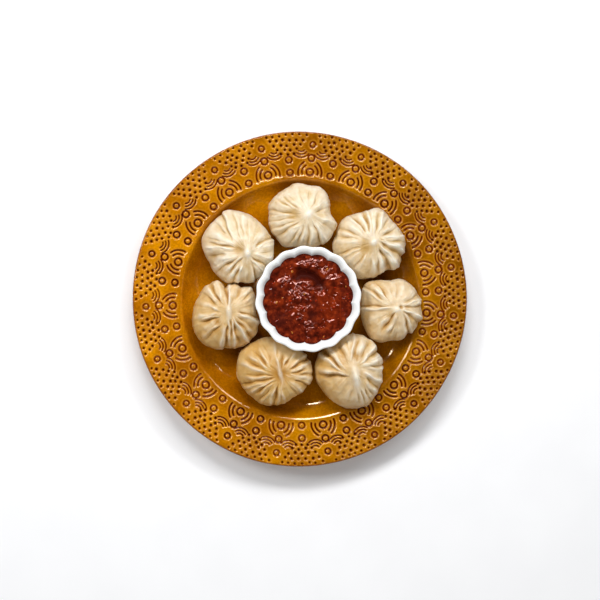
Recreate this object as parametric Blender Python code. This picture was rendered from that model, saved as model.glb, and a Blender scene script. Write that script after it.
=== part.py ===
# Seven steamed momo on a stamped stoneware plate, set round a scalloped pot of red chutney.
# Blender 4.5, metres, +Z up. The origin is the centre of the plate's foot, on the table.

import math
import random

import bmesh
import bpy
from mathutils import Vector

MM = 0.001
GAP = 0.3 * MM  # air kept between two pieces that touch
CLEARANCE = 1.5 * MM  # how far out the momo look for the plate's rise

# The plate: a flat floor, a hollow side that steepens towards the rim, and a wide rim.
PLATE_RADIUS = 130 * MM
PLATE_STEPS = 60
FLOOR_HEIGHT = 8 * MM
FLOOR_RADIUS = 78 * MM
WELL_RADIUS = 92 * MM
WELL_HEIGHT = 18 * MM
WELL_HOLLOW = 1.6  # power of the side's curve: 1 is a cone
RIM_HEIGHT = 24 * MM
LIP_RADIUS = 2 * MM
FOOT_INNER = 54 * MM
FOOT_OUTER = 62 * MM
FOOT_FACE = 4 * MM  # width of the flat face the plate stands on
FOOT_HEIGHT = 3.4 * MM
WALL = 5.2 * MM

# The chutney pot: a flared bowl pressed into rounded lobes.
POT_CENTRE = Vector((3.8, 0.0, 0.0)) * MM
POT_LOBES = 16
POT_LOBE_TURN = math.radians(6.5)
POT_LOBE_DEPTH = 0.6 * MM
POT_STEPS = 4 * POT_LOBES
POT_BASE_RADIUS = 26 * MM
POT_RIM_RADIUS = 40 * MM
POT_HEIGHT = 38 * MM
POT_WALL = 3.6 * MM
POT_FLOOR = 5 * MM
CHUTNEY_DEPTH = 29 * MM  # from the pot's inner floor to the level surface
CHUTNEY_RIPPLE = 0.9 * MM
SPOON_HOLLOW = 1.8 * MM  # how far the spoon's mark goes down
SPOON_PLACE = Vector((0.5, 16.0, 0.0)) * MM  # from the pot's centre
SPOON_WIDTH = 9 * MM

# The momo. Each pleat is three columns of points: its crease, its ridge and its shoulder.
COLUMNS = (-1.0, 0.9, 0.35)
PLEAT_DEPTH = 0.17  # of the pleat's width where it is measured
OUTLINE_STEP = math.radians(30)

# Share of the belly's radius and share of the height, from the resting edge up to the knot.
SIDE = (
    (0.64, 0.00),
    (0.86, 0.09),
    (0.98, 0.24),
    (1.00, 0.40),
    (0.94, 0.58),
    (0.78, 0.76),
    (0.54, 0.90),
    (0.30, 0.96),
    (0.13, 1.00),
    (0.07, 1.07),
)
BELLY_SHARE = 0.40

# Where each momo sits, how high it is, the belly's radius every 30 degrees from +X, where its
# knot lies from the centre, its number of pleats, and how far they turn on their way to the knot.
MOMO = {
    "momo_north": dict(
        at=(0.4, 64.8), high=35, knot=(3.8, -0.8), pleats=14, twist=6, seed=1,
        outline=(22.5, 24, 25, 24.6, 24, 26, 25.4, 27.5, 27.5, 25, 27.5, 27.5),
    ),
    "momo_northeast": dict(
        at=(52.3, 43.4), high=35, knot=(1.6, -0.2), pleats=15, twist=-4, seed=2,
        outline=(28.5, 25.7, 26.6, 25.7, 26, 27.3, 28, 27, 27.5, 27.3, 25.6, 28.8),
    ),
    "momo_east": dict(
        at=(69.7, -8.5), high=34, knot=(2.6, 0.7), pleats=11, twist=-22, seed=3,
        outline=(24, 24.2, 25.1, 23.2, 26.3, 26, 23.5, 24.6, 27, 24, 23.8, 24.2),
    ),
    "momo_southeast": dict(
        at=(36.7, -55.9), high=37, knot=(2.3, 3.0), pleats=12, twist=10, seed=4,
        outline=(26.4, 27, 28.8, 28.2, 26.5, 26.4, 26.8, 25.3, 26.5, 28.8, 29.6, 27.4),
    ),
    "momo_southwest": dict(
        at=(-21.1, -55.8), high=34, knot=(4.0, -0.8), pleats=16, twist=5, seed=5,
        outline=(29.4, 27.6, 26, 26.8, 27.4, 29.5, 29.2, 26.8, 26.6, 26.3, 24.9, 27.4),
    ),
    "momo_west": dict(
        at=(-57.9, -12.4), high=35, knot=(1.8, 3.7), pleats=13, twist=-6, seed=6,
        outline=(23.8, 26.2, 25, 22.6, 27.2, 25.8, 26, 27.5, 27.8, 25.9, 27.3, 27.4),
    ),
    "momo_northwest": dict(
        at=(-49.1, 40.0), high=37, knot=(7.2, -5.3), pleats=13, twist=14, seed=7,
        outline=(27.2, 25.6, 25.9, 28, 28, 27.8, 26.9, 25.2, 27.8, 27, 28, 26.7),
    ),
}


def clear_scene():
    for thing in list(bpy.data.objects):
        bpy.data.objects.remove(thing)


def material(name, colour, roughness, metallic=0.0):
    made = bpy.data.materials.new(name)
    made.use_nodes = True
    shader = made.node_tree.nodes["Principled BSDF"]
    shader.inputs["Base Color"].default_value = (*colour, 1.0)
    shader.inputs["Roughness"].default_value = roughness
    shader.inputs["Metallic"].default_value = metallic
    return made


def add_object(name, shape, finish):
    """A smooth object with its outward normals worked out, from a finished bmesh."""
    bmesh.ops.recalc_face_normals(shape, faces=shape.faces)
    mesh = bpy.data.meshes.new(name)
    shape.to_mesh(mesh)
    shape.free()
    mesh.materials.append(finish)
    mesh.shade_smooth()
    mesh.set_sharp_from_angle(angle=math.radians(40))
    made = bpy.data.objects.new(name, mesh)
    bpy.context.scene.collection.objects.link(made)
    return made


def skin(rings):
    """A closed bmesh over rings of points, all with the same number, with a flat cap at each end."""
    shape = bmesh.new()
    loops = [[shape.verts.new(point) for point in ring] for ring in rings]
    for lower, upper in zip(loops, loops[1:]):
        for i in range(len(lower)):
            shape.faces.new((lower[i - 1], lower[i], upper[i], upper[i - 1]))
    shape.faces.new(loops[0])
    shape.faces.new(loops[-1])
    return shape


def plate_top(radius):
    """Height of the plate's upper face at this distance from its centre."""
    if radius <= FLOOR_RADIUS:
        return FLOOR_HEIGHT
    if radius <= WELL_RADIUS:
        share = (radius - FLOOR_RADIUS) / (WELL_RADIUS - FLOOR_RADIUS)
        return FLOOR_HEIGHT + (WELL_HEIGHT - FLOOR_HEIGHT) * share**WELL_HOLLOW
    share = min(1.0, (radius - WELL_RADIUS) / (PLATE_RADIUS - WELL_RADIUS))
    return WELL_HEIGHT + (RIM_HEIGHT - WELL_HEIGHT) * share


def lip(start, end, steps):
    """Points round the plate's rounded edge, from one angle to another, outward being 0."""
    centre = (PLATE_RADIUS - LIP_RADIUS, RIM_HEIGHT - LIP_RADIUS)
    turns = [math.radians(start + (end - start) * i / steps) for i in range(steps + 1)]
    return [(centre[0] + LIP_RADIUS * math.cos(t), centre[1] + LIP_RADIUS * math.sin(t)) for t in turns]


def plate_profile():
    """Radius and height round half of the plate's section, from the underside's centre to the top's."""
    slope = (FOOT_OUTER - FOOT_INNER - FOOT_FACE) / 2
    under = [(0, FOOT_HEIGHT - GAP), (FOOT_INNER - slope, FOOT_HEIGHT - GAP), (FOOT_INNER + slope, 0)]
    under += [(FOOT_INNER + slope + FOOT_FACE, 0), (FOOT_OUTER + slope, FOOT_HEIGHT)]
    for radius in (FLOOR_RADIUS, (FLOOR_RADIUS + WELL_RADIUS) / 2, WELL_RADIUS + WALL / 2):
        under.append((radius + WALL / 3, plate_top(radius) - WALL))
    under.append((PLATE_RADIUS - 2 * LIP_RADIUS, RIM_HEIGHT - WALL))
    edge = lip(-60, 90, 3)
    well = [WELL_RADIUS - (WELL_RADIUS - FLOOR_RADIUS) * i / 4 for i in range(5)]
    inside = [(radius, plate_top(radius)) for radius in well]
    return under + edge + inside + [(0, FLOOR_HEIGHT)]


def make_plate(finish):
    """The plate, spun from its profile about its own axis."""
    shape = bmesh.new()
    points = [shape.verts.new((radius, 0, height)) for radius, height in plate_profile()]
    edges = [shape.edges.new(pair) for pair in zip(points, points[1:])]
    bmesh.ops.spin(
        shape, geom=points + edges, cent=(0, 0, 0), axis=(0, 0, 1),
        angle=2 * math.pi, steps=PLATE_STEPS,
    )
    bmesh.ops.remove_doubles(shape, verts=shape.verts, dist=0.01 * MM)
    return add_object("plate", shape, finish)


def pot_wall(height):
    """Outer radius of the pot at this height above its foot, between its lobes' crests and creases."""
    share = height / POT_HEIGHT
    return POT_BASE_RADIUS + (POT_RIM_RADIUS - POT_BASE_RADIUS) * share**0.9


def pot_ring(radius, height):
    """One lobed ring of points round the pot. Its lobes grow from nothing at the foot to full at the rim."""
    depth = POT_LOBE_DEPTH * height / POT_HEIGHT
    ring = []
    for i in range(POT_STEPS):
        turn = 2 * math.pi * i / POT_STEPS
        lobe = 2 * abs(math.cos(POT_LOBES / 2 * turn)) ** 0.8 - 1
        out = Vector((math.cos(turn + POT_LOBE_TURN), math.sin(turn + POT_LOBE_TURN), 0))
        ring.append(POT_CENTRE + out * (radius + depth * lobe) + Vector((0, 0, FLOOR_HEIGHT + GAP + height)))
    return ring


def make_pot(finish):
    """The pot as one skin: up its outside, over the rim, and down its inside to the inner floor."""
    foot = 1.5 * MM
    outside = [foot, 0.30 * POT_HEIGHT, 0.65 * POT_HEIGHT, POT_HEIGHT - 1.2 * MM]
    inside = [POT_HEIGHT - 1.2 * MM, 0.70 * POT_HEIGHT, POT_FLOOR + 3 * MM]
    rings = [pot_ring(POT_BASE_RADIUS - foot, 0)]
    rings += [pot_ring(pot_wall(height), height) for height in outside]
    rings.append(pot_ring(pot_wall(POT_HEIGHT) - 0.3 * POT_WALL, POT_HEIGHT))
    rings.append(pot_ring(pot_wall(POT_HEIGHT) - 0.7 * POT_WALL, POT_HEIGHT))
    rings += [pot_ring(pot_wall(height) - POT_WALL, height) for height in inside]
    rings.append(pot_ring(pot_wall(POT_FLOOR) - POT_WALL - 3 * MM, POT_FLOOR))
    return add_object("chutney_pot", skin(rings), finish)


def chutney_surface(point):
    """The chutney's height above its level: low ripples, and the round hollow that a spoon left."""
    ripple = CHUTNEY_RIPPLE * math.sin(260 * point.x + 1.0) * math.cos(310 * point.y - 0.6)
    to_hollow = (point - POT_CENTRE - SPOON_PLACE).to_2d().length
    return ripple - SPOON_HOLLOW * math.exp(-((to_hollow / SPOON_WIDTH) ** 2))


def make_chutney(finish):
    """The chutney fills the pot from its inner floor up to the level surface, a gap inside the wall."""
    level = POT_FLOOR + CHUTNEY_DEPTH
    rings = [pot_ring(pot_wall(POT_FLOOR) - POT_WALL - 4 * MM, POT_FLOOR + GAP)]
    for height in (POT_FLOOR + 3.4 * MM, 0.70 * POT_HEIGHT, level):
        rings.append(pot_ring(pot_wall(height) - POT_WALL - 2 * GAP, height))
    edge = pot_wall(level) - POT_WALL - 2 * GAP
    for share in (0.72, 0.40, 0.12):
        ring = pot_ring(edge * share, level)
        rings.append([point + Vector((0, 0, chutney_surface(point))) for point in ring])
    return add_object("chutney", skin(rings), finish)


def belly(outline, turn):
    """Radius of a momo's outline at this angle, on a smooth closed curve through the given radii."""
    place = (turn / OUTLINE_STEP) % len(outline)
    first = int(place)
    t = place - first
    a, b, c, d = (outline[(first + k) % len(outline)] for k in (-1, 0, 1, 2))
    return MM * 0.5 * (2 * b + (c - a) * t + (2 * a - 5 * b + 4 * c - d) * t**2 + (3 * b - a - 3 * c + d) * t**3)


def pleat_columns(pleats, seed):
    """(angle, fold) of each column of points: fold is -1 in a crease and near 1 on a ridge."""
    chance = random.Random(seed)
    widths = [chance.uniform(0.75, 1.25) for _ in range(pleats)]
    turn, columns = chance.uniform(0, 1), []
    for width in widths:
        step = 2 * math.pi * width / sum(widths)
        for share, fold in zip((0.0, 0.4, 0.75), COLUMNS):
            columns.append((turn + share * step, fold))
        turn += step
    return columns


def momo_point(momo, radius_share, height_share, turn, fold):
    """One point of a momo's skin. The pleats rise out of the smooth belly and close in on the knot."""
    rise = max(0.0, (height_share - BELLY_SHARE) / (1 - BELLY_SHARE))
    towards_knot = min(1.0, rise**1.5)
    radius = belly(momo["outline"], turn) * radius_share
    pleat_width = 2 * math.pi * radius / momo["pleats"]
    depth = PLEAT_DEPTH * pleat_width * min(1.0, 0.25 + 1.6 * rise) * fold if height_share > 0.2 else 0.0
    turn += math.radians(momo["twist"]) * towards_knot
    x = momo["at"][0] * MM + momo["knot"][0] * MM * towards_knot + (radius + depth * (1 - rise)) * math.cos(turn)
    y = momo["at"][1] * MM + momo["knot"][1] * MM * towards_knot + (radius + depth * (1 - rise)) * math.sin(turn)
    z = FLOOR_HEIGHT + GAP + momo["high"] * MM * height_share + depth * rise
    if height_share == 0:
        inward = min(1.0, (FLOOR_RADIUS - MM) / math.hypot(x, y))
        return Vector((x * inward, y * inward, z))
    return Vector((x, y, max(z, plate_top(math.hypot(x, y) + CLEARANCE) + 2 * GAP)))


def make_momo(name, momo, finish):
    """One momo: a soft round belly that follows the plate beneath it, pleated up into a knot."""
    columns = pleat_columns(momo["pleats"], momo["seed"])
    rings = [
        [momo_point(momo, radius_share, height_share, turn, fold) for turn, fold in columns]
        for radius_share, height_share in SIDE
    ]
    return add_object(name, skin(rings), finish)


def main():
    clear_scene()
    glaze = material("amber_glaze", (0.46, 0.19, 0.02), 0.18)
    porcelain = material("white_porcelain", (0.86, 0.84, 0.82), 0.15)
    sauce = material("red_chutney", (0.22, 0.02, 0.008), 0.25)
    dough = material("steamed_dough", (0.80, 0.66, 0.44), 0.42)
    make_plate(glaze)
    make_pot(porcelain)
    make_chutney(sauce)
    for name, momo in MOMO.items():
        make_momo(name, momo, dough)


main()
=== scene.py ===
import math
import random

import bpy
import numpy as np
from mathutils import Matrix, Vector, noise


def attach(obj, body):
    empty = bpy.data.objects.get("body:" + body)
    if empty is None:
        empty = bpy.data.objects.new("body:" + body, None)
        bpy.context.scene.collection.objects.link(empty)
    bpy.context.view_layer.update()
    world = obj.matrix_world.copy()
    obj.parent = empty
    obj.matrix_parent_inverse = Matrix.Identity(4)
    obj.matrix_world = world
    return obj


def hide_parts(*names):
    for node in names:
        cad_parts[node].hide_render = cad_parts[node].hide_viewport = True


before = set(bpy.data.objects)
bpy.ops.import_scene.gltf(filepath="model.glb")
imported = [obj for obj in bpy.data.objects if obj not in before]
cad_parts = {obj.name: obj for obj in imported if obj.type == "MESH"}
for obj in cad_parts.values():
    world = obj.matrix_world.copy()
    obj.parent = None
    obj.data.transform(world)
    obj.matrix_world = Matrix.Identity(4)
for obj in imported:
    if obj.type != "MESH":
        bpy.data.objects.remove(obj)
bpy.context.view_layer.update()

# Seven steamed momo on a stamped stoneware plate, round a fluted pot of red chutney.
# Metres, +Z up. The plate's foot stands on the origin.

scene = bpy.context.scene
mm = 0.001
gap = 0.3 * mm  # air under everything that rests on the plate


def linear(hexColour):
    # sRGB hex to the linear colour that the shaders work in
    shares = [int(hexColour[i:i + 2], 16) / 255 for i in (1, 3, 5)]
    return [s / 12.92 if s <= 0.04045 else ((s + 0.055) / 1.055) ** 2.4 for s in shares] + [1.0]


def addNode(tree, kind, settings=None, inputs=None):
    # one node with its settings, and each input as a plain value or as another node's output
    node = tree.nodes.new(kind)
    for key, value in (settings or {}).items():
        setattr(node, key, value)
    for key, given in (inputs or {}).items():
        if isinstance(given, bpy.types.NodeSocket):
            tree.links.new(given, node.inputs[key])
        else:
            node.inputs[key].default_value = given
    return node


def startMaterial(name):
    # an empty material, its tree, and the place of each point on the object
    made = bpy.data.materials.new(name)
    made.use_nodes = True
    made.node_tree.nodes.clear()
    place = addNode(made.node_tree, "ShaderNodeTexCoord")
    return made, made.node_tree, place.outputs["Object"]


def endMaterial(tree, inputs):
    shader = addNode(tree, "ShaderNodeBsdfPrincipled", None, inputs)
    addNode(tree, "ShaderNodeOutputMaterial", None, {"Surface": shader.outputs["BSDF"]})


def addAttribute(tree, name):
    # a value stored at each point of the mesh
    return addNode(tree, "ShaderNodeAttribute", {"attribute_name": name}).outputs["Fac"]


def addNoise(tree, place, size, detail, roughness=0.5):
    # soft random patches of the given size
    inputs = {"Vector": place, "Scale": 1 / size, "Detail": detail, "Roughness": roughness}
    return addNode(tree, "ShaderNodeTexNoise", None, inputs).outputs["Fac"]


def addRamp(tree, source, *stops):
    # Colours along a value. Each stop is its position and a hex colour or a share of white.
    node = addNode(tree, "ShaderNodeValToRGB", None, {"Fac": source})
    ramp = node.color_ramp.elements
    ramp[0].position, ramp[1].position = stops[0][0], stops[-1][0]
    made = [ramp[0], ramp[1]] if len(stops) == 2 else [ramp[0], ramp.new(stops[1][0]), ramp[2]]
    for stop, (_, colour) in zip(made, stops):
        stop.color = linear(colour) if isinstance(colour, str) else [colour, colour, colour, 1.0]
    return node.outputs["Color"]


def addMix(tree, share, under, over, kind="MIX"):
    # one colour over another by a share
    settings = {"data_type": "RGBA", "blend_type": kind}
    inputs = {"Factor": share, "A": under, "B": over}
    return addNode(tree, "ShaderNodeMix", settings, inputs).outputs["Result"]


def addMath(tree, kind, first, second, clamp=False):
    settings = {"operation": kind, "use_clamp": clamp}
    return addNode(tree, "ShaderNodeMath", settings, {0: first, 1: second}).outputs["Value"]


def addRange(tree, source, low, high, newLow, newHigh):
    # a value stretched from one range to another
    inputs = {"Value": source, "From Min": low, "From Max": high, "To Min": newLow, "To Max": newHigh}
    return addNode(tree, "ShaderNodeMapRange", None, inputs).outputs["Result"]


def addBump(tree, height, strength, distance):
    inputs = {"Height": height, "Strength": strength, "Distance": distance}
    return addNode(tree, "ShaderNodeBump", None, inputs).outputs["Normal"]


def smooth(low, high, value):
    # 0 below low, 1 above high, and an easy curve between
    share = np.clip((value - low) / (high - low), 0.0, 1.0)
    return share * share * (3 - 2 * share)


def skinRings(rings):
    # Vertices and triangles over closed rings of points. A ring may be a single point, or have a
    # whole number of times as many points as its neighbour.
    starts = np.cumsum([0] + [len(ring) for ring in rings])
    faces = []
    for k in range(len(rings) - 1):
        first, second = starts[k], starts[k + 1]
        a, b = len(rings[k]), len(rings[k + 1])
        i = np.arange(max(a, b))
        j = (i + 1) % len(i)
        if a == b:
            faces.append(np.column_stack([first + i, first + j, second + j]))
            faces.append(np.column_stack([first + i, second + j, second + i]))
        elif b > a:
            near = ((i + 0.5) * a / b + 0.5).astype(int) % a
            last = np.roll(near, 1)
            faces.append(np.column_stack([first + near, second + j, second + i]))
            fan = np.column_stack([first + last, first + near, second + i])
            faces.append(fan[(near != last) & (a > 1)])
        else:
            near = ((i + 0.5) * b / a + 0.5).astype(int) % b
            last = np.roll(near, 1)
            faces.append(np.column_stack([first + i, first + j, second + near]))
            fan = np.column_stack([first + i, second + near, second + last])
            faces.append(fan[(near != last) & (b > 1)])
    return np.concatenate(rings), np.concatenate(faces)


def addPiece(name, points, faces, finish, node=None, attributes=None):
    # a smooth closed mesh that rides on the plate's body and stands for a CAD node
    a, b, c = (points[faces[:, k]] for k in range(3))
    if np.einsum("ij,ij->i", a, np.cross(b, c)).sum() < 0:
        faces = faces[:, ::-1]
    mesh = bpy.data.meshes.new(name)
    mesh.vertices.add(len(points))
    mesh.vertices.foreach_set("co", points.astype(np.float32).ravel())
    mesh.loops.add(faces.size)
    mesh.loops.foreach_set("vertex_index", faces.astype(np.int32).ravel())
    mesh.polygons.add(len(faces))
    mesh.polygons.foreach_set("loop_start", np.arange(0, faces.size, 3, dtype=np.int32))
    mesh.update(calc_edges=True)
    for key, values in (attributes or {}).items():
        layer = mesh.attributes.new(key, "FLOAT", "POINT")
        layer.data.foreach_set("value", values.astype(np.float32).ravel())
    mesh.materials.append(finish)
    mesh.shade_smooth()
    piece = bpy.data.objects.new(name, mesh)
    scene.collection.objects.link(piece)
    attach(piece, "root")
    if node:
        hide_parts(node)
    return piece


def fieldNoise(points, scale, seed):
    # smooth noise of about -1 to 1 at each point, with lumps of the given size
    offset = Vector((seed * 7.3, seed * 3.1, seed * 5.7))
    return np.array([noise.noise(Vector(p) / scale + offset) for p in points])


plate = {
    "radius": 129.9 * mm,
    "floorHeight": 8 * mm,
    "floorRadius": 78 * mm,
    "wellRadius": 92 * mm,
    "wellHeight": 18 * mm,
    "wellHollow": 2.2,  # 1 for a straight slope between floor and rim
    "rimHeight": 23.9 * mm,
    "edgeRound": 1.9 * mm,
    # radii of the upper face's rings inside the stamps, in mm
    "wellRings": (20, 40, 55, 65, 72, 76, 78, 79, 80, 81, 82, 83.5, 85, 86.5, 88, 89, 90, 91, 91.7),
    # radius and height of the underside from the edge in, over the foot ring, in mm
    "underside": ((126, 18.2), (112, 16), (98, 13.6), (92, 12), (88, 8.3), (84, 5.4), (80, 3.4), (74, 3.2),
                  (66, 3.3), (63.5, 3.2), (62, 2.4), (60.2, 0.3), (59.6, 0), (56.4, 0), (55.8, 0.3),
                  (54, 2.4), (52, 3.1), (40, 3.2), (20, 3.2)),
    # a plain slope inside the stamps, which catches one long line of light
    "facetSlope": 0.29,
    "facetFrom": 91.8 * mm,
    "facetTo": 94.2 * mm,
    "repeats": 19,  # of the stamped pattern
    "firstRepeat": math.radians(11.5),
    "columns": 64,  # per repeat, 0.5 to 0.67 mm apart
    "rowStep": 0.5 * mm,
    "stampedFrom": 92.5 * mm,
    "stampedTo": 128.6 * mm,
    "grooveDepth": 0.75 * mm,
    "holeDepth": 1.7 * mm,
    "nubHeight": 0.55 * mm,
    "shoulderSlope": 0.34,  # slanting shoulder of each stamp
    "shoulderWidth": 1.0 * mm,
    # the eye of each repeat: its ring's place and size, and the arcs round it, in mm
    "eye": (99.1, 2.75),
    "eyeArcs": (6.2, 9.2),
    # other rings: share of a repeat, place, size and drift in mm, depth in grooves, and nub
    "rings": ((0, 110, 2.5, 0.35, 0.95, 1.0), (0, 120.1, 2.1, 0.35, 0.9, 0.8),
              (0.5, 98.2, 2.4, 0.6, 0.95, 1.0), (0.5, 108, 2.4, 0.6, 0.95, 1.0)),
    # two fans of arcs in each repeat: place in mm, turn to each side in radians, and the arcs in mm
    "fans": (117.4, 0.075, (3.2, 5.4, 7.6)),
    "fanWidth": 0.52 * mm,
    # rows of holes: place, count and spacing, in mm
    "holeRows": ((127.2, 7, 5.4), (123.4, 6, 5.3), (119.6, 5, 5.2), (116.2, 4, 5.0), (113.0, 3, 4.8)),
    "seed": 4,
}
restHeight = plate["floorHeight"] + gap  # of everything that stands on the plate


def plateTop(radius):
    # height of the plate's upper face, without its stamps
    share = np.clip((radius - plate["floorRadius"]) / (plate["wellRadius"] - plate["floorRadius"]), 0, 1)
    well = plate["floorHeight"] + (plate["wellHeight"] - plate["floorHeight"]) * share ** plate["wellHollow"]
    share = np.clip((radius - plate["wellRadius"]) / (plate["radius"] - plate["wellRadius"]), 0, 1)
    return well + (plate["rimHeight"] - plate["wellHeight"]) * share


class StampedRim:
    # Over the grid of the rim's points: the depth pressed into the clay, how thick the glaze pools
    # there, darkest in the holes with painted shade, and how thin it runs over the clay beside it, which
    # also carries a painted highlight.
    def __init__(self, radii, turns):
        self.radii, self.turns = radii[:, None], turns[None, :]
        self.depth = np.zeros((len(radii), len(turns)))
        self.pool = np.zeros_like(self.depth)
        self.lip = np.zeros_like(self.depth)

    def around(self, turn, radius, reach):
        # rows and columns near a place, and their offsets from it along and across the rim
        rows = np.flatnonzero(np.abs(self.radii[:, 0] - radius) < reach)
        away = (self.turns[0] - turn + math.pi) % (2 * math.pi) - math.pi
        columns = np.flatnonzero(np.abs(away) * radius < reach)
        spread = np.ix_(rows, columns)
        return spread, away[columns][None, :] * self.radii[rows], self.radii[rows] - radius

    def press(self, spread, distance, width, depth, power=3.0, lip=1.0):
        # a groove or hole as deep as `depth` where distance is 0, in a slanting shoulder that catches the
        # light, with raised clay just outside it
        share = np.exp(-(np.abs(distance) / width) ** power)
        shoulder = np.clip(width + plate["shoulderWidth"] - np.abs(distance), 0, plate["shoulderWidth"])
        slope = plate["shoulderSlope"] * min(1.1, depth / plate["grooveDepth"])
        self.depth[spread] = np.maximum(self.depth[spread], share * depth + slope * shoulder)
        self.pool[spread] = np.maximum(self.pool[spread], share * min(1.0, depth / plate["grooveDepth"]))
        ridge = np.exp(-((np.abs(distance) - 2.0 * width) / width) ** 2)
        self.lip[spread] = np.maximum(self.lip[spread], ridge * lip * (1 - share))

    def ring(self, turn, radius, size, depth, nub=1.0):
        # a round stamp: a circular groove about a raised nub with a dimple in it
        spread, u, v = self.around(turn, radius, size + 3 * mm)
        away = np.hypot(u, v)
        self.press(spread, away - size, 0.66 * mm, depth)
        raised = nub * np.exp(-(((away - 0.75 * mm) / (0.6 * mm)) ** 2))
        self.depth[spread] -= plate["nubHeight"] * raised
        # the nub is painted lighter, partly thin glaze and partly a painted highlight
        self.lip[spread] = np.maximum(self.lip[spread], raised)
        self.pool[spread] = np.maximum(self.pool[spread], 0.5 * np.exp(-((away / (0.45 * mm)) ** 2)))

    def arc(self, turn, radius, size, middle, spreadAngle, depth, width=0.64 * mm):
        # part of a circular groove, centred on `middle` as seen from the circle's centre
        spread, u, v = self.around(turn, radius, size + 3 * mm)
        angle = np.arctan2(v, u)
        off = np.abs((angle - middle + math.pi) % (2 * math.pi) - math.pi)
        beyond = np.maximum(0, off - spreadAngle) * np.hypot(u, v)
        self.press(spread, np.hypot(np.hypot(u, v) - size, beyond), width, depth)

    def hole(self, turn, radius, size):
        spread, u, v = self.around(turn, radius, 4 * mm)
        self.press(spread, np.hypot(u, v), size, plate["holeDepth"], 4.0, 0.8)


def stampRim(rim):
    # every stamp of the 19 repeats, each a little off its place as a hand leaves it
    chance = random.Random(plate["seed"])
    step = 2 * math.pi / plate["repeats"]

    def near(turn, radius, along=0.35, across=0.3):
        # a place close to the one given, which is an angle and a radius in mm
        radius = (radius + chance.uniform(-across, across)) * mm
        return turn + chance.uniform(-along, along) * mm / radius, radius

    for k in range(plate["repeats"]):
        # the repeats crowd a little on one side, as a hand spaces them
        drift = math.radians(0.8 - 2.3 * math.sin(2 * math.pi * (k + 0.5) / plate["repeats"]))
        turn = plate["firstRepeat"] + k * step + drift
        force = chance.uniform(0.8, 1.15) * plate["grooveDepth"]
        place, eyeSize = plate["eye"]
        eye = near(turn, place)
        rim.ring(*eye, eyeSize * mm, force)
        for size in plate["eyeArcs"]:
            for side in (0, math.pi):
                middle = math.radians(20 if side == 0 else -20) + side
                rim.arc(*eye, size * mm, middle, math.radians(36), force * chance.uniform(0.9, 1.1))
        for share, place, size, along, depth, nub in plate["rings"]:
            rim.ring(*near(turn + share * step, place, along), size * mm, force * depth, nub)
        for side in (-1, 1):
            place, aside, arcs = plate["fans"]
            middle = math.radians(-90 - side * 6)
            place = near(turn + side * aside, place)
            for size in arcs:
                rim.arc(*place, size * mm, middle, math.radians(46), force * 0.95, plate["fanWidth"])
        for radius, count, spacing in plate["holeRows"]:
            for i in range(count):
                along = (i - (count - 1) / 2) * spacing
                size = chance.uniform(0.9, 1.12) * (0.8 if radius > 126 else 1.0)
                rim.hole(*near(turn + step / 2 + along / radius, radius, 0.7, 0.6), size * mm)
    return rim


def platePoints():
    # rings of the plate from the middle of its upper face, out over the rim and back underneath
    fineCount = plate["repeats"] * plate["columns"]
    coarseCount = fineCount // 8
    fineTurns = 2 * math.pi * np.arange(fineCount) / fineCount
    coarseTurns = 2 * math.pi * np.arange(coarseCount) / coarseCount
    rings, pools, lips = [], [], []

    def addRing(radius, height, turns, pool=0.0, lip=0.0):
        # a hand-thrown rim isn't quite round
        uneven = 1 + 0.0012 * np.sin(3 * turns + 0.4) + 0.0009 * np.sin(7 * turns + 2.1) - 0.0022
        reach = radius * np.where(radius > 100 * mm, uneven, 1.0)
        rings.append(np.column_stack([reach * np.cos(turns), reach * np.sin(turns), height + 0 * turns]))
        pools.append(pool + 0 * turns)
        lips.append(np.minimum(lip, 1.0) ** 1.5 + 0 * turns)

    def addCentre(height):
        rings.append(np.array([[0, 0, height]]))
        pools.append(np.zeros(1))
        lips.append(np.zeros(1))

    addCentre(plate["floorHeight"])
    # the well is painted darker towards its floor, partly glaze pooled thicker and partly painted shade and
    # painted reflection of darker surroundings
    for radius in plate["wellRings"]:
        addRing(radius * mm, plateTop(radius * mm), coarseTurns, 0.04 + 0.07 * smooth(92, 84, radius))
    radii = np.arange(plate["stampedFrom"], plate["stampedTo"], plate["rowStep"])
    rim = stampRim(StampedRim(radii, fineTurns))
    facet = plate["facetSlope"] * (np.clip(radii, plate["facetFrom"], plate["facetTo"]) - plate["facetFrom"])
    facet *= 1 - smooth(plate["facetTo"], plate["facetTo"] + 2.8 * mm, radii)
    stamped = smooth(plate["facetTo"] - 1 * mm, plate["facetTo"] + 1 * mm, radii)  # stamps stop at the facet
    for k, radius in enumerate(radii):
        height = plateTop(radius) + facet[k] - stamped[k] * rim.depth[k]
        # painted shade: a dark line on the rim's outer band, where the edge rounds down
        paintedEdgeShade = 0.10 * smooth(127 * mm, 128.6 * mm, radius)
        pool = np.maximum(stamped[k] * rim.pool[k], paintedEdgeShade)
        addRing(radius, height, fineTurns, pool, stamped[k] * rim.lip[k])
    # the rounded edge's rings carry 0.35 of the pooled colour, painted shade where the edge turns down
    for turn in (62, 35, 5, -25, -60, -90):  # the rounded edge, in degrees above level
        outward = plate["edgeRound"] * math.cos(math.radians(turn))
        upward = plate["edgeRound"] * math.sin(math.radians(turn))
        addRing(plate["radius"] - plate["edgeRound"] + outward,
                plate["rimHeight"] - plate["edgeRound"] - 0.2 * mm + upward, coarseTurns, 0.35)
    for radius, height in plate["underside"]:
        addRing(radius * mm, height * mm, coarseTurns)
    addCentre(3.2 * mm)
    return rings, pools, lips


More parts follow.
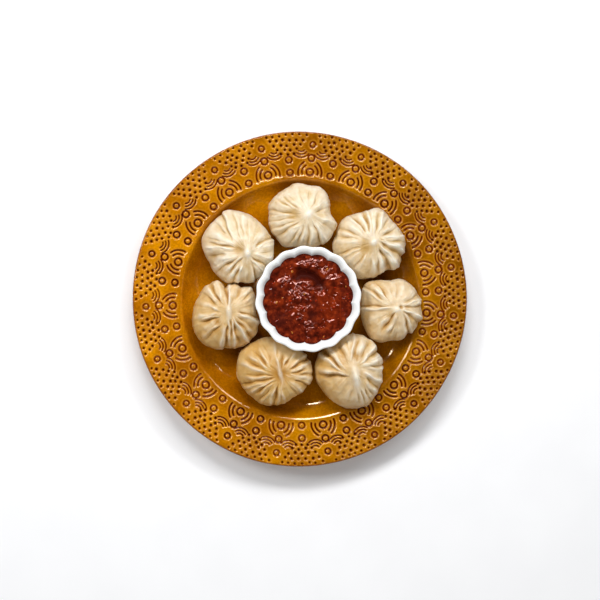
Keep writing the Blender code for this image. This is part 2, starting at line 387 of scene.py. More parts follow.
def amberGlaze():
    # Stoneware dipped in an iron amber glaze and fired glossy. The eye sees honey gold where the
    # glaze runs thin over raised clay, with a painted highlight there, and dark brown where it pools in
    # the stamps, near black in the holes with painted shade. One side is painted lighter, as painted light.
    made, tree, place = startMaterial("amberIronGlazedStoneware")
    pool = addAttribute(tree, "pool")
    lip = addAttribute(tree, "lip")
    clouds = addNoise(tree, place, 30 * mm, 4.0, 0.55)
    body = addRamp(tree, clouds, (0.32, "#955400"), (0.5, "#ae6900"), (0.68, "#ca8200"))
    speckle = addRamp(tree, addNoise(tree, place, 1.6 * mm, 2.0, 0.6), (0.40, 0.84), (0.62, 1.12))
    mottled = addMix(tree, 1.0, body, speckle, "MULTIPLY")
    sides = addNode(tree, "ShaderNodeSeparateXYZ", None, {"Vector": place})
    paintedSideLight = addRange(tree, sides.outputs["X"], -130 * mm, 130 * mm, 1.22, 0.60)  # painted light: the left of the plate is painted lighter and the right darker, as light falls from one side
    sideLitGlaze = addNode(tree, "ShaderNodeVectorMath", {"operation": "SCALE"}, {"Vector": mottled, "Scale": paintedSideLight})
    # painted highlight: raised clay and nubs painted lighter, partly glaze running thin
    thinGlazeAndHighlight = addMix(tree, addMath(tree, "MULTIPLY", lip, 0.42), sideLitGlaze.outputs["Vector"], linear("#e69c2c"))
    thick = addMix(tree, addMath(tree, "MULTIPLY", pool, 1.5, True), thinGlazeAndHighlight, linear("#6c2200"))
    # near black where the glaze pools thickest, which in the holes is partly painted shade
    deep = addMix(tree, addMath(tree, "POWER", pool, 4.0), thick, linear("#1c0300"))
    endMaterial(tree, {
        "Base Color": deep, "Roughness": 0.10, "IOR": 1.5, "Specular Tint": linear("#ffe6c6"),
        "Specular IOR Level": addRange(tree, pool, 0, 1, 0.9, 0.1),
        "Normal": addBump(tree, addNoise(tree, place, 6 * mm, 2.0), 0.35, 0.25 * mm)})
    return made


def makePlate():
    rings, pools, lips = platePoints()
    points, faces = skinRings(rings)
    addPiece("stampedPlate", points, faces, amberGlaze(), "plate",
             {"pool": np.concatenate(pools), "lip": np.concatenate(lips)})
    print("plate:", len(faces), "triangles")


pot = {
    "centre": (3.8 * mm, 0.0),
    "lobes": 16,
    "lobeTurn": math.radians(6.5),
    "lobeDepth": 0.55 * mm,
    "columns": 24,  # per lobe
    "baseRadius": 26 * mm,
    "rimRadius": 40.3 * mm,
    "height": 38 * mm,
    "wall": 3.6 * mm,
    "rimSwell": 2.3 * mm,
    "rimLean": 2.4 * mm,  # how far the rim's inner edge lies below its outer one
    "floor": 5 * mm,
}


def potWall(height):
    share = np.clip(height / pot["height"], 0, 1)
    return pot["baseRadius"] + (pot["rimRadius"] - pot["baseRadius"]) * share ** 0.9


def potBore(height):
    # radius of the pot's inner wall, which thickens into a broad rim
    return potWall(height) - pot["wall"] - pot["rimSwell"] * np.clip(height / pot["height"], 0, 1) ** 3


def potMiddle(height):
    # the single point that closes the pot or the chutney at a height above the pot's foot
    return np.array([[*pot["centre"], restHeight + height]])


def potRing(radius, height, turns, inside=0.0, fade=1.0):
    # One fluted ring, fading towards the foot: soft waves outside, and inside hollows that meet in
    # narrow creases.
    phase = pot["lobes"] * (turns - pot["lobeTurn"])
    lobe = (1 - inside) * np.cos(phase) + inside * 1.8 * (2 * np.abs(np.cos(phase / 2)) ** 0.8 - 1)
    reach = radius + pot["lobeDepth"] * lobe * fade * height / pot["height"]
    z = restHeight + height
    x = pot["centre"][0] + reach * np.cos(turns)
    y = pot["centre"][1] + reach * np.sin(turns)
    return np.column_stack([x, y, z + 0 * turns])


def whitePorcelain():
    # Slip-cast porcelain under a clear glaze. The eye sees a warm, very even white with a hard gloss,
    # a little see-through at its thin edge.
    made, tree, place = startMaterial("whiteGlazedPorcelain")
    body = addRamp(tree, addNoise(tree, place, 18 * mm, 3.0), (0.3, "#eff0ec"), (0.7, "#f6f7f4"))
    endMaterial(tree, {
        "Base Color": body, "Roughness": 0.14, "IOR": 1.5, "Subsurface Weight": 0.25,
        "Subsurface Radius": (1.0, 0.9, 0.8), "Subsurface Scale": 1.2 * mm,
        "Normal": addBump(tree, addNoise(tree, place, 4 * mm, 1.0, 0.4), 0.15, 0.1 * mm)})
    return made


def makePot():
    turns = 2 * math.pi * np.arange(pot["lobes"] * pot["columns"]) / (pot["lobes"] * pot["columns"])
    top = pot["height"]
    rings = [potMiddle(1 * mm)]
    # underneath, by the share of the base's radius and the height in mm
    for radius, height in ((0.55, 1.0), (0.80, 1.0), (0.86, 0.1), (0.93, 0.0), (0.97, 0.4)):
        rings.append(potRing(pot["baseRadius"] * radius, height * mm, turns))
    for height in np.linspace(1.6 * mm, top - 1.6 * mm, 20):
        rings.append(potRing(potWall(height), height, turns))
    low = top - 1.6 * mm
    for turn in np.linspace(0, math.pi, 15)[1:-1]:  # the broad rounded rim
        reach = 0.5 * (potWall(low) + potBore(low)) + 0.5 * (potWall(low) - potBore(low)) * math.cos(turn)
        lean = pot["rimLean"] * smooth(0.25, 1.0, turn / math.pi)
        rings.append(potRing(reach, low + 1.6 * mm * math.sin(turn) ** 0.8 - lean, turns, turn / math.pi))
    for height in np.linspace(low - pot["rimLean"], pot["floor"] + 3 * mm, 18):
        rings.append(potRing(potBore(height), height, turns, 1.0))
    for inward, height in ((0.9, 1.2), (2.0, 0.4), (3.4, 0.0)):  # the round into the floor, in mm
        rings.append(potRing(potBore(pot["floor"]) - inward * mm, pot["floor"] + height * mm, turns, 1.0))
    rings.append(potMiddle(pot["floor"]))
    points, faces = skinRings(rings)
    addPiece("flutedPot", points, faces, whitePorcelain(), "chutney_pot")
    print("pot:", len(faces), "triangles")


chutney = {
    "level": 33.6 * mm,  # above the pot's foot
    "intoWall": 0.3 * mm,  # reaches into the glaze, so that no line of air shows
    # a spoon's trough, bent round a middle, and the ridge it pushed up: from the pot's centre
    "troughMiddle": (-2.6 * mm, 7.8 * mm),
    "troughRadius": 11 * mm,
    "troughDepth": 3.4 * mm,
    # lumps of pulp: size and height in mm, and the share of the height that stands above the level
    "lumps": ((5.0, 1.7, 0.5), (3.0, 1.1, 0.4)),
    # broad mounds: place from the pot's centre, half width and height, and rise, in mm
    "mounds": ((-9, 2, 10, 8, 1.5), (-2, -15, 14, 7, 1.0)),
    # coarse, oily heaps, patches that lie dark and still, and redder, more orange ones, which are partly
    # the pulp's own colour and partly painted light. Each is its place from the pot's centre, half its
    # width and height, and how strong it is.
    "heaps": ((4, 27, 7, 3, 1.0), (14, 22, 6, 3.5, 1.0), (21, 15, 6, 4, 1.0), (-18, 12, 5, 4, 1.1),
              (-11, 6, 6, 4, 0.8), (-7, 1, 5, 4, 1.1), (2, 9, 6, 3, 0.6), (-2, -7, 5, 3, 0.8),
              (-13, -7, 6, 4, 0.7), (-8, -14, 6, 4, 0.8), (0, -20, 7, 3.5, 1.0), (16, -17, 6, 4, 0.7),
              (18, 3, 6, 5, 0.5), (17, -8, 7, 7, 0.45), (-24, -2, 5, 4, 0.5)),
    "still": ((-21, -17, 8, 8, 0.6), (3, -13, 4, 4, 0.7), (4, -2, 3, 3, 0.8), (-27, 6, 7, 4, 0.5),
              (27, -3, 3, 9, 0.3)),
    "warm": ((17, -6, 8, 14, 0.7), (9.5, 1, 4, 5, 0.9), (-11, 21, 3, 2.5, 1.2), (-23, -2.5, 5, 3, 0.9),
             (-9, -9, 7, 4, 0.5), (24.5, -8, 0.6, 13, 1.0), (12, 19, 5, 3, 0.6), (-16, 24, 6, 3, 0.4)),
    "rings": 110,
    "columns": 24 * 16,
}


def patchwork(patches, x, y):
    # the strongest of several soft patches at each point
    u, v = x - pot["centre"][0], y - pot["centre"][1]
    return np.max([strong * np.exp(-(((u / mm - a) / wide) ** 2 + ((v / mm - b) / tall) ** 2))
                   for a, b, wide, tall, strong in patches], axis=0)


def chutneyTrough(x, y):
    # how deep in the spoon's trough a point is, and how high on the ridge beyond it, both 0 to 1
    u = x - pot["centre"][0] - chutney["troughMiddle"][0]
    v = y - chutney["troughMiddle"][1]
    flat = np.column_stack([x, y, 0 * x])
    away = np.hypot(u, v) + 1.5 * mm * fieldNoise(flat, 5 * mm, 9)
    turn = np.degrees(np.arctan2(v, u)) + 14 * fieldNoise(flat, 6 * mm, 10)
    along = smooth(-25, 15, turn) * (1 - smooth(105, 150, turn))
    trough = along * np.exp(-np.abs((away - chutney["troughRadius"]) / (3.9 * mm)) ** 3)
    ridge = smooth(-35, 0, turn) * (1 - smooth(95, 130, turn))
    return trough, ridge * np.exp(-((away - chutney["troughRadius"] - 6.6 * mm) / (2.9 * mm)) ** 2)


def chutneyHeight(x, y, edgeShare):
    # Height of the chutney above its level. It is coarse, with soft mounds, glossy lumps of pulp, the
    # trough of a spoon, and a thin meniscus at the wall.
    flat = np.column_stack([x, y, 0 * x])
    drift = np.column_stack([fieldNoise(flat, 4 * mm, 5), fieldNoise(flat, 4 * mm, 6), 0 * x]) * 1.8 * mm
    lumps = 0.12 * mm * fieldNoise(flat + drift, 1.3 * mm, 4)
    for k, (size, rise, level) in enumerate(chutney["lumps"]):
        lumps += rise * mm * (level - np.abs(fieldNoise(flat + drift, size * mm, 2 + k)))
    trough, ridge = chutneyTrough(x, y)
    u, v = (x - pot["centre"][0]) / mm, y / mm
    mounds = 0.8 * mm * fieldNoise(flat, 12 * mm, 1)
    for a, b, wide, tall, rise in chutney["mounds"]:
        mounds += rise * mm * np.exp(-(((u - a) / wide) ** 2 + ((v - b) / tall) ** 2))
    coarse = 0.28 + 0.22 * fieldNoise(flat, 7 * mm, 8) + 0.95 * patchwork(chutney["heaps"], x, y)
    coarse = np.clip(coarse - 0.7 * patchwork(chutney["still"], x, y), 0.08, 1.4)
    calm = (1 - 0.93 * trough) * (1 - smooth(0.90, 1.0, edgeShare)) * coarse
    edge = 1 - smooth(0.85, 1.0, edgeShare)
    return (mounds - 0.6 * mm) * edge + lumps * calm + 1.3 * mm * ridge - chutney["troughDepth"] * trough


seeds = {
    "count": 9,
    "size": 1.9 * mm,
    "thick": 0.6 * mm,
    "pointed": 0.25,  # 0 for round, 1 for a sharp end
    "lift": 0.05 * mm,  # of the middle above the chutney
    # the ones that stand out: place from the pot's centre, and scale
    "placed": ((14.4 * mm, 22.4 * mm, 1.5), (-12 * mm, 20.5 * mm, 1.3), (-24 * mm, -2.6 * mm, 1.2)),
    "seed": 11,
}

flakes = {
    "count": 34,
    "size": 2.4 * mm,
    "thick": 0.3 * mm,
    "pointed": 0.1,
    "lift": 0.12 * mm,
    "placed": (),
    "seed": 12,
}


def scatterOnChutney(name, bits, finish):
    # one joined piece of small flat bits, half sunk in the chutney, each turned and tilted its own way
    chance = random.Random(bits["seed"])
    allPoints, allFaces, start = [], [], 0
    places = list(bits["placed"])
    while len(places) < bits["count"]:
        u, v = (chance.uniform(-31, 31) * mm for _ in range(2))
        trough = chutneyTrough(np.array([u + pot["centre"][0]]), np.array([v]))[0][0]
        if math.hypot(u, v) < 31 * mm and trough < 0.4:
            places.append((u, v, chance.uniform(0.6, 1.15)))
    for u, v, scale in places:
        x, y = pot["centre"][0] + u, v
        top = restHeight + chutney["level"]
        top += chutneyHeight(np.array([x]), np.array([y]), np.array([math.hypot(u, v) / (34 * mm)]))[0]
        long = bits["size"] * scale
        wide = long * chance.uniform(0.55, 0.8)
        around = 2 * math.pi * np.arange(10) / 10
        uneven = 1 + np.array([chance.uniform(-0.12, 0.12) for _ in around])
        taper = 1 - bits["pointed"] * np.cos(around)
        outline = np.column_stack([long / 2 * np.cos(around), wide / 2 * np.sin(around) * taper, 0 * around])
        outline *= uneven[:, None]
        rings = [np.array([[0, 0, bits["thick"] / 2]])]
        for share, height in ((0.6, 0.42), (0.92, 0.18), (1.0, 0.0), (0.92, -0.18), (0.6, -0.42)):
            rings.append(outline * share + np.array([0, 0, bits["thick"] * height]))
        rings.append(np.array([[0, 0, -bits["thick"] / 2]]))
        points, faces = skinRings(rings)
        turn = Matrix.Rotation(chance.uniform(0, 2 * math.pi), 3, "Z")
        tilt = Matrix.Rotation(chance.uniform(-0.45, 0.45), 3, "X")
        points = points @ np.array(turn @ tilt).T + np.array([x, y, top + bits["lift"]])
        allPoints.append(points)
        allFaces.append(faces + start)
        start += len(points)
    addPiece(name, np.concatenate(allPoints), np.concatenate(allFaces), finish)
    print(name + ":", len(places), "pieces")


def makeChutney(finish):
    turns = 2 * math.pi * np.arange(chutney["columns"]) / chutney["columns"]
    level = chutney["level"]
    edge = potBore(level) + chutney["intoWall"]
    rings = [potMiddle(pot["floor"] + 0.2 * mm)]
    low = pot["floor"] + 3 * mm
    for height in (low, 0.5 * (low + level), level - 2 * mm):
        rings.append(potRing(potBore(height) + chutney["intoWall"], height, turns, 1.0))
    shadedAndDark = [np.zeros(1 + 3 * len(turns))]
    warm = [np.zeros(1 + 3 * len(turns))]
    for share in np.linspace(1.0, 0.03, chutney["rings"]):
        ring = potRing(edge * share, level, turns, 1.0, share ** 3)
        ring[:, 2] += chutneyHeight(ring[:, 0], ring[:, 1], share)
        rings.append(ring)
        x, y = ring[:, 0], ring[:, 1]
        # painted shade in the spoon's trough and along the edge by the wall, and the still patches painted
        # darker
        still = np.maximum(patchwork(chutney["still"], x, y), 0.7 * smooth(0.93, 1.0, share))
        shadedAndDark.append(np.maximum(chutneyTrough(x, y)[0], still))
        # orange patches, partly the pulp's colour and partly painted light
        warm.append(patchwork(chutney["warm"], x, y))
    centre = rings[-1].mean(axis=0)
    rings.append(centre[None, :])
    shadedAndDark.append(np.zeros(1))
    warm.append(np.zeros(1))
    points, faces = skinRings(rings)
    addPiece("redChutney", points, faces, finish, "chutney",
             {"shadedAndDark": np.concatenate(shadedAndDark), "warm": np.concatenate(warm)})
    print("chutney:", len(faces), "triangles")


def tomatoChilliChutney():
    # Roasted tomato and dried chilli, ground wet. The eye sees deep red pulp with oil between the
    # lumps, which gives small hard highlights, and paler flecks of garlic and chilli seed.
    made, tree, place = startMaterial("wetGroundTomatoChilliChutney")
    shadedAndDark = addAttribute(tree, "shadedAndDark")
    warm = addAttribute(tree, "warm")
    pulp = addNoise(tree, place, 4.2 * mm, 5.0, 0.62)
    body = addRamp(tree, pulp, (0.30, "#2b0a04"), (0.5, "#5e1b0d"), (0.72, "#983917"))
    flecks = addNode(tree, "ShaderNodeTexVoronoi", {"feature": "F1"}, {
        "Vector": place, "Scale": 1 / (3 * mm), "Randomness": 1.0})
    small = addRamp(tree, flecks.outputs["Distance"], (0.10, 1.0), (0.17, 0.0))
    drawn = addNode(tree, "ShaderNodeSeparateColor", None, {"Color": flecks.outputs["Color"]})
    some = addMath(tree, "GREATER_THAN", drawn.outputs["Red"], 0.72)
    mixed = addMix(tree, addMath(tree, "MULTIPLY", small, some), body, linear("#c9532c"))
    # orange patches, partly painted light
    bright = addMix(tree, addMath(tree, "MULTIPLY", warm, 0.45, True), mixed, linear("#9c3208"))
    # painted shade in the trough and by the wall, and darker still patches
    deep = addMix(tree, shadedAndDark, bright, linear("#3a0f08"))
    endMaterial(tree, {
        "Base Color": deep, "IOR": 1.46, "Roughness": addRange(tree, shadedAndDark, 0, 1, 0.07, 0.4),
        "Specular IOR Level": addRange(tree, shadedAndDark, 0, 1, 1.0, 0.05), "Specular Tint": linear("#ffc4ba"),
        "Normal": addBump(tree, addNoise(tree, place, 0.9 * mm, 3.0, 0.6), 0.08, 0.1 * mm)})
    return made


def oiledSeed():
    # Chilli and tomato seeds in red oil. The eye sees small glossy amber chips.
    made, tree, place = startMaterial("oiledChilliSeed")
    body = addRamp(tree, addNoise(tree, place, 1.2 * mm, 2.0), (0.35, "#8f3a10"), (0.65, "#cf8a34"))
    endMaterial(tree, {
        "Base Color": body, "Roughness": 0.18, "IOR": 1.46, "Subsurface Weight": 0.3,
        "Subsurface Radius": (1.0, 0.5, 0.2), "Subsurface Scale": 0.5 * mm})
    return made


def wetChilliFlake():
    # Ground dried chilli skin, soaked. The eye sees thin glossy scales, from dark red to orange red.
    made, tree, place = startMaterial("soakedChilliFlake")
    body = addRamp(tree, addNoise(tree, place, 3 * mm, 2.0), (0.35, "#4a0a03"), (0.65, "#a32a0c"))
    endMaterial(tree, {"Base Color": body, "Roughness": 0.12, "IOR": 1.46})
    return made


dough = {
    "columns": 384,
    "rows": 100,
    "lumps": ((11, 0.7), (4.6, 0.38), (2.2, 0.12)),  # each sort's size and height in mm
    "wrinkles": 26,  # fine ones that gather at each knot
    "puff": 2.6,  # how far the dough swells beside a crease, in crease widths
}

# outline: the belly's radius every 15 degrees from +X, in mm. knot: its place from the centre.
# folds: each (direction from the knot, start, end, rise, width, bend), in degrees and mm. A fold
# with a rise above 0 is a pinched ridge, and one below 0 is a crease. bend is how far its inner
# end turns away. lap: how far the pleats lean over each other, and to which side. tone: how tan the
# dough is painted, partly its own colour and partly painted shade, most on the momo to the south and
# west. tanSide: how that tan grows along X and Y, painted shade towards the side away from the
# light. dimple: its place from the knot, half width and depth. tip: the pinched tip's half length,
# half width, direction, height, and way along from the knot.
momoList = {
    "momoNorth": dict(
        node="momo_north", at=(0.4, 64.8), high=35, knot=(3.8, -0.8), lap=0.4, tone=0.0, seed=1,
        dimple=(-11.4, 0.0, 5.2, 1.5), tip=(4.5, 3.4, 60, 1.6, 0),
        outline=(22.3, 22.4, 24, 25.8, 25, 23.8, 24.6, 24.8, 23.9, 24.4, 26, 27,
                 25.4, 26.4, 27.5, 27, 27.8, 25.5, 25, 25.8, 27.5, 28, 27.8, 27.5),
        folds=((18, 4, 15, -1.3, 1.8, 4), (-17, 3, 24, 0.9, 1.2, 6), (-31, 11, 22, -0.9, 2.4, 0),
               (-53, 8, 27, 0.8, 1.1, -5), (-64, 8, 28, -1.7, 0.9, 4), (-78, 9, 25, 0.6, 1.0, 0),
               (-88, 9, 26, -1.3, 0.9, 0), (-97, 4, 16, 0.5, 1.0, 0), (-109, 8, 25, -1.1, 0.9, -3),
               (-122, 12, 27, -1.0, 1.0, 2), (-134, 10, 28, 0.5, 1.8, 0), (-145, 9, 31, -1.2, 1.1, 4),
               (-160, 11, 31, -1.1, 0.9, 12), (-171, 11, 31, -0.8, 0.8, 5), (-178, 14, 30, 0.5, 1.0, 0),
               (172, 11, 30, -1.0, 0.8, 10), (152, 13, 28, -0.9, 0.8, 12), (143, 9, 25, -1.1, 0.8, 13),
               (134, 13, 23, -0.7, 0.8, 12), (108, 9, 24, -0.6, 0.9, 16), (88, 7, 20, -0.4, 0.9, 0),
               (66, 7, 21, -0.7, 0.9, -6), (47, 10, 20, -0.4, 1.2, 0)),
    ),
    "momoNortheast": dict(
        node="momo_northeast", at=(52.3, 43.4), high=35, knot=(1.6, -0.2), lap=0.1, tone=0.12, seed=2,
        dimple=(-6.0, -4.6, 5.4, 1.5), tip=(3.4, 2.4, 30, 1.8, 0),
        outline=(28.7, 27, 25.7, 25.1, 26.6, 28.2, 25.7, 24.9, 25.8, 27.3, 27.3, 26.6,
                 28, 28, 27, 26.5, 27.5, 29, 27.3, 26.6, 25.4, 28.6, 28.9, 27.6),
        folds=((10, 6, 29, 0.9, 1.0, 26), (32, 7, 22, -1.5, 1.2, 0), (1, 8, 27, -1.3, 1.4, 10),
               (-14, 4, 30, 1.4, 1.1, 30), (-23, 5, 29, -2.4, 1.9, 18), (-41, 3, 31, 1.8, 1.2, 30),
               (-55, 5, 29, -2.5, 1.5, 10), (-66, 8, 27, 1.1, 1.0, 0), (-76, 11, 27, -1.6, 1.1, 0),
               (-86, 11, 26, 0.9, 0.9, -7), (-96, 12, 25, -1.0, 1.1, 0), (-126, 10, 25, -1.0, 1.0, 0),
               (-142, 12, 25, 0.5, 1.5, 0), (-161, 11, 28, -1.1, 1.0, 0), (178, 11, 28, 0.6, 1.2, 0),
               (169, 11, 28, -0.9, 0.9, 0), (156, 11, 28, -1.2, 1.3, 0), (143, 8, 26, 0.8, 1.2, 8),
               (127, 9, 26, -1.9, 0.8, 0), (116, 9, 25, 0.7, 1.1, 0), (105, 8, 25, -2.1, 1.0, 10),
               (98, 5, 26, 1.0, 0.9, 8), (91, 5, 25, 0.9, 0.9, 0), (79, 7, 24, -1.6, 1.1, 0),
               (71, 9, 27, 0.8, 1.1, -9), (56, 11, 23, -0.9, 1.2, 0), (42, 12, 23, -0.5, 1.2, 0)),
    ),
    "momoEast": dict(
        node="momo_east", at=(69.7, -8.5), high=34, knot=(2.6, 0.7), lap=0.7, tone=0.42, seed=3,
        dimple=(2.8, 1.4, 1.5, 2.6), tip=(4.2, 2.6, 200, 1.6, 0),
        outline=(24, 24.2, 24.2, 24.6, 25.1, 25.3, 22.9, 24, 26.3, 28.4, 26, 24,
                 23.5, 23.7, 24.6, 26.3, 27, 26, 23.9, 24.8, 23.6, 24, 24.2, 24.6),
        folds=((182, 3, 29, 1.2, 1.1, -22), (175, 5, 28, -1.4, 0.8, -20), (143, 12, 30, -1.7, 0.8, 8),
               (134, 10, 27, 0.9, 1.1, 10), (125, 10, 26, -1.8, 0.8, 12), (108, 11, 23, -0.5, 0.9, 0),
               (91, 7, 21, -0.8, 0.9, 0), (74, 9, 22, 0.5, 1.6, 0), (33, 7, 22, -1.0, 1.6, 8),
               (19, 6, 25, 0.9, 1.0, 22), (6, 3, 25, -1.4, 1.1, 16), (-18, 3, 27, 1.4, 1.0, 18),
               (-31, 4, 25, -1.7, 1.9, 14), (-61, 5, 26, -2.1, 0.9, 30), (-72, 8, 26, 0.8, 1.4, 20),
               (-103, 11, 25, -0.5, 0.8, 0), (-90, 9, 25, -0.4, 0.8, 0), (-123, 3, 20, -2.9, 1.3, 3),
               (-138, 8, 19, 1.2, 1.6, 2), (-158, 9, 24, 0.5, 3.0, 0)),
    ),
    "momoSoutheast": dict(
        node="momo_southeast", at=(36.7, -55.9), high=37, knot=(2.3, 3.0), lap=-0.3, tone=0.55, seed=4,
        tanSide=(-0.55, -0.05), dimple=(2.3, 9.9, 3.4, 1.6), tip=(8, 3.0, -80, 4.4, 6.5),
        outline=(26.2, 27.4, 26.2, 28.6, 28.8, 29.4, 28.2, 27.5, 26.5, 26, 26.4, 27.1,
                 26.8, 26, 25.2, 25.8, 26.5, 27.6, 28.8, 29.7, 30.2, 28.4, 27.4, 26.7),
        folds=((-168, 7, 27, -3.2, 1.5, 41), (157, 7, 28, 2.4, 1.5, 76), (149, 8, 27, -3.0, 1.3, 56),
               (139, 6, 27, 1.6, 1.3, 58), (122, 7, 25, -1.4, 1.8, 22), (100, 10, 24, 0.6, 1.6, 10),
               (86, 6, 28, 1.3, 0.8, 37), (79, 8, 26, -1.2, 1.0, 20), (70, 7, 26, 1.0, 2.0, 0),
               (58, 9, 25, -1.2, 1.2, 0), (45, 4, 26, 1.2, 1.1, -6), (33, 11, 27, -1.5, 1.2, 0),
               (17, 5, 27, 1.1, 1.6, 8), (4, 10, 27, -1.4, 1.0, 4), (-8, 8, 17, -0.7, 2.2, 0),
               (-26, 5, 27, 1.5, 1.2, 6), (-40, 11, 28, -1.7, 1.3, 4), (-54, 16, 28, -0.9, 0.8, 0),
               (-62, 15, 29, -1.2, 0.7, 0), (-67, 15, 28, 0.8, 0.7, 0), (-72, 16, 29, -1.2, 0.7, 0),
               (-76, 16, 28, 0.7, 0.7, 0), (-81, 16, 28, -0.9, 0.8, 0), (-96, 14, 26, -0.5, 1.2, 0),
               (-115, 10, 24, -0.4, 1.6, 0)),
    ),
    "momoSouthwest": dict(
        node="momo_southwest", at=(-21.1, -55.8), high=34, knot=(4.0, -0.8), lap=0.25, tone=1.0, seed=5,
        dimple=(0.0, 0.0, 8.0, 1.6), tip=(6.5, 1.7, 105, 2.0, 0),
        outline=(29.5, 29, 27.6, 26.5, 26, 26.3, 26.8, 27, 27.4, 28.7, 29.8, 29.4,
                 29.2, 28.1, 26.7, 26.2, 26.7, 26.6, 26.3, 25.7, 24.7, 25.6, 27.4, 29.4),
        folds=((139, 10, 26, -1.8, 0.9, 18), (129, 9, 26, 1.0, 0.9, 26), (119, 11, 25, -0.8, 0.9, 12),
               (102, 4, 23, 1.1, 0.9, 5), (80, 4, 15, -1.9, 1.2, 0), (70, 5, 12, 0.9, 0.6, 0),
               (59, 6, 16, -2.1, 1.0, 0), (54, 8, 21, 0.8, 0.9, -4), (28, 7, 27, -2.0, 1.0, -4),
               (20, 8, 28, 1.0, 1.1, -6), (8, 7, 21, -1.7, 0.9, -10), (-3, 13, 27, -1.4, 1.0, 0),
               (-10, 8, 28, 1.0, 1.5, 4), (-24, 11, 27, -1.4, 0.9, 0), (-38, 8, 27, 0.8, 1.2, 0),
               (-52, 9, 24, -0.7, 0.9, 0), (-80, 8, 26, 1.2, 1.0, -10), (-100, 8, 26, -2.2, 1.1, 0),
               (-107, 9, 27, 0.9, 1.0, -6), (-127, 13, 28, -1.2, 0.9, 8), (-147, 7, 27, 1.1, 0.9, 10),
               (-140, 8, 25, -1.6, 0.8, 4), (-163, 5, 32, -1.7, 1.0, 22), (-171, 8, 26, 0.8, 1.0, 8),
               (-177, 5, 26, -1.4, 0.8, 14), (166, 9, 31, 1.1, 1.2, 16), (159, 11, 29, -1.6, 0.8, 14),
               (150, 9, 28, 0.9, 1.0, 10)),
    ),
    "momoWest": dict(
        node="momo_west", at=(-57.9, -12.4), high=35, knot=(1.8, 3.7), lap=-0.3, tone=0.72, seed=6,
        dimple=(-9.2, -8.6, 2.6, 1.3), tip=(7.0, 2.2, 92, 2.2, 0),
        outline=(23.6, 23.4, 26.2, 28.3, 24.7, 25.1, 22.4, 27, 27.3, 26.7, 25.7, 25.5,
                 26, 27, 27.5, 27.8, 27.8, 27.2, 25.7, 26.7, 27.4, 27, 27.6, 25.5),
        folds=((95, 3, 24, -2.6, 0.9, 4), (88, 4, 21, 1.2, 1.0, 0), (76, 8, 22, 0.6, 2.0, 0),
               (112, 8, 25, 1.1, 1.3, 14), (125, 7, 25, -2.0, 0.9, 20), (133, 9, 26, 1.2, 1.0, 10),
               (146, 8, 23, -1.4, 1.1, 16), (165, 6, 21, 1.3, 1.3, 16), (-168, 8, 26, 1.0, 1.3, 4),
               (-158, 9, 24, -2.5, 0.9, 20), (-128, 12, 28, -1.4, 1.1, 14), (-142, 9, 27, 0.5, 2.2, 0),
               (-102, 11, 31, 1.0, 1.3, -3), (-95, 10, 32, -1.9, 0.8, 0), (-89, 5, 29, 0.9, 0.8, 0),
               (-83, 6, 23, -1.9, 0.8, 3), (-80, 6, 30, 1.3, 0.7, 12), (-73, 9, 27, -2.0, 1.0, 4),
               (-58, 5, 31, 1.7, 0.9, 0), (-49, 7, 29, -2.0, 1.3, -3), (-37, 7, 26, -1.2, 1.6, 4),
               (-22, 5, 29, 1.3, 1.2, 6), (-14, 6, 25, -1.5, 1.0, 14), (45, 13, 28, 1.0, 1.2, 4),
               (37, 12, 26, -1.0, 1.2, 0), (60, 9, 25, -1.0, 1.2, 0), (10, 9, 22, -0.4, 1.4, 0)),
    ),
    "momoNorthwest": dict(
        node="momo_northwest", at=(-49.1, 40.0), high=37, knot=(7.2, -5.3), lap=-0.3, tone=0.12, seed=7,
        dimple=(-7.0, 3.0, 4.2, 1.7), tip=(4.6, 2.4, -84, 3.4, 0),
        outline=(27.2, 27.2, 25.5, 25.1, 25.9, 26.7, 28, 29.5, 28, 27.2, 27.8, 28,
                 26.9, 25.8, 25, 26.3, 27.8, 29.2, 26.8, 28.5, 28, 27, 26.6, 27.2),
        folds=((122, 14, 39, -1.5, 0.8, 28), (136, 20, 35, -1.0, 0.9, 4), (109, 13, 34, -0.9, 0.8, 12),
               (101, 12, 31, -0.8, 0.8, 6), (90, 11, 27, -0.5, 0.8, 0), (40, 6, 16, -1.9, 1.0, -12),
               (33, 11, 25, -1.4, 0.9, 9), (20, 11, 22, 1.0, 1.2, 0), (52, 10, 24, 0.6, 2.0, 0),
               (-35, 3, 19, -1.9, 0.9, -20), (-12, 4, 20, 1.0, 1.2, 0), (2, 7, 19, -0.7, 1.0, 0),
               (-46, 6, 21, 1.0, 1.0, -18), (-71, 9, 25, -1.6, 0.8, 2), (-60, 9, 24, 0.5, 1.2, 0),
               (-88, 12, 25, -0.6, 0.9, 0), (-133, 5, 23, -1.9, 1.0, -6), (-124, 13, 28, 1.1, 1.1, -12),
               (-116, 11, 27, -1.7, 1.1, -8), (-108, 8, 27, 1.0, 1.0, -14), (-150, 7, 28, -1.6, 1.0, -3),
               (-165, 8, 27, 1.0, 1.8, -3), (-176, 16, 31, -1.4, 2.2, 0), (171, 10, 33, 1.2, 1.0, -9),
               (165, 10, 30, -1.5, 0.8, -9), (158, 22, 33, -1.0, 1.6, 0), (150, 10, 33, 0.9, 1.8, 0)),
    ),
}


def closedCurve(values, turns):
    # a smooth closed curve through evenly spaced values, read at each turn
    values = np.array(values, float)
    place = (turns / (2 * math.pi) * len(values)) % len(values)
    first = place.astype(int)
    t = place - first
    a, b, c, d = (values[(first + k) % len(values)] for k in (-1, 0, 1, 2))
    return 0.5 * (2 * b + (c - a) * t + (2 * a - 5 * b + 4 * c - d) * t**2 + (3 * b - a - 3 * c + d) * t**3)


